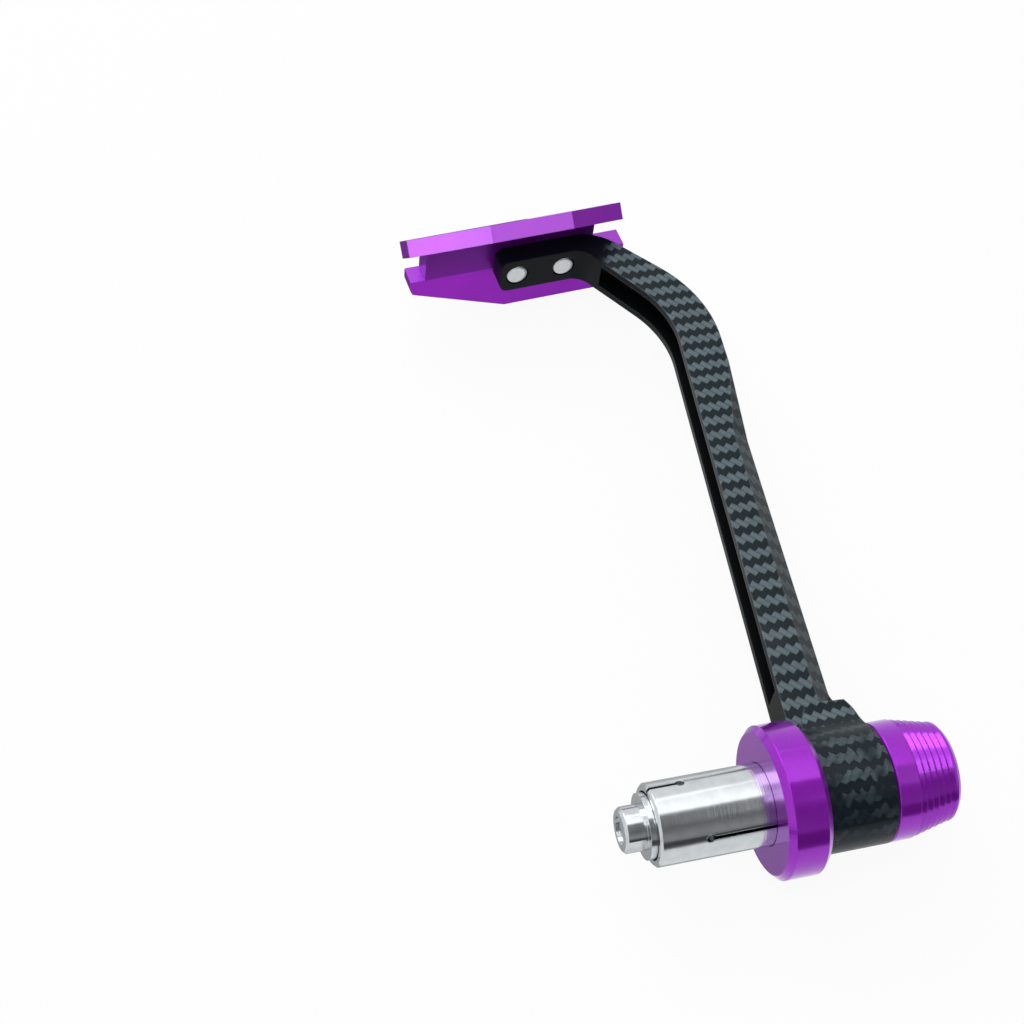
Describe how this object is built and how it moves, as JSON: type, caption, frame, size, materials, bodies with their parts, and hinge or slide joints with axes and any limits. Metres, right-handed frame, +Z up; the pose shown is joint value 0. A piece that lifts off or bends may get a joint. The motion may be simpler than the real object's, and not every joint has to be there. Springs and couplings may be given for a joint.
{
  "type": "lever guard",
  "caption": "Bar-end lever guard: a channel-section arm on a ring and expanding plug carries a faceted winglet ahead of the hand lever.",
  "frame": {"origin": "on the bar axis, in the plane of the tube's end where the collar stops", "axes": "+X outboard along the bar, +Y forward to the winglet, +Z up"},
  "size_m": [0.0821, 0.1861, 0.0336],
  "materials": {
    "anodised": "satin anodised, purple",
    "zinc": "bright zinc plated",
    "carbon_look": "moulded plastic with a grey twill print"
  },
  "bodies": {
    "root": {"expander_sleeve": "zinc", "wedge_nut": "zinc", "mount_bolt": "zinc", "mount_collar": "anodised", "stop_peg": "anodised", "ring_spacer": "anodised", "guard_arm": "carbon_look", "winglet": "anodised", "tip_screw": "zinc", "arm_screw": "zinc", "bar_end_cap": "anodised"}
  },
  "joints": []
}
